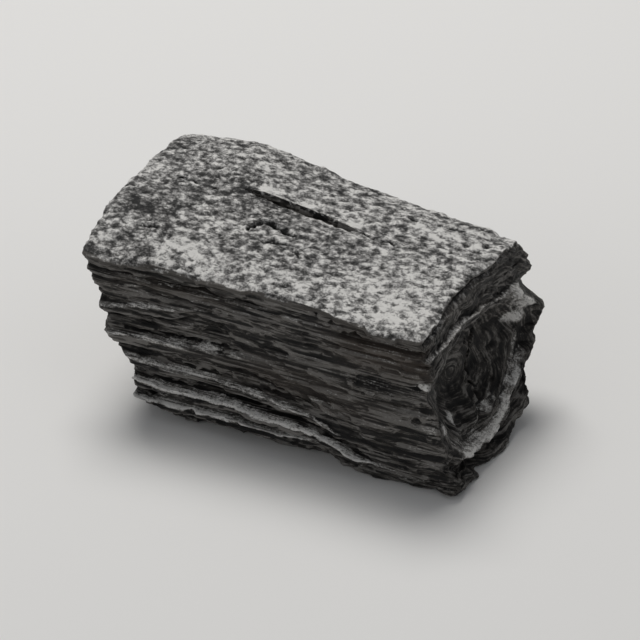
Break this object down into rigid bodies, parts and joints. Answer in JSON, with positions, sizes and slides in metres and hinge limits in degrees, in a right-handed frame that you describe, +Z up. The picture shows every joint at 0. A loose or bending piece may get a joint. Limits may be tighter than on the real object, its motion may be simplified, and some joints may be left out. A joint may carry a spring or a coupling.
{
  "type": "lumpwood charcoal piece",
  "caption": "Charred split-log block with an arched outer face, layered split faces with splinter ledges, a long slit on top and a hollow broken end, lying flat.",
  "frame": {"origin": "under the middle of the lump, on the surface it lies on", "axes": "+X along the grain, towards the hollow end; +Y from the front split face to the back one; +Z up, out of the outer log face"},
  "size_m": [0.1052, 0.0666, 0.0486],
  "materials": {
    "char": "charred black wood, matt to satin, with a grey granular bloom on the outer log face"
  },
  "bodies": {
    "root": {"charcoal_lump": "char"}
  },
  "joints": []
}
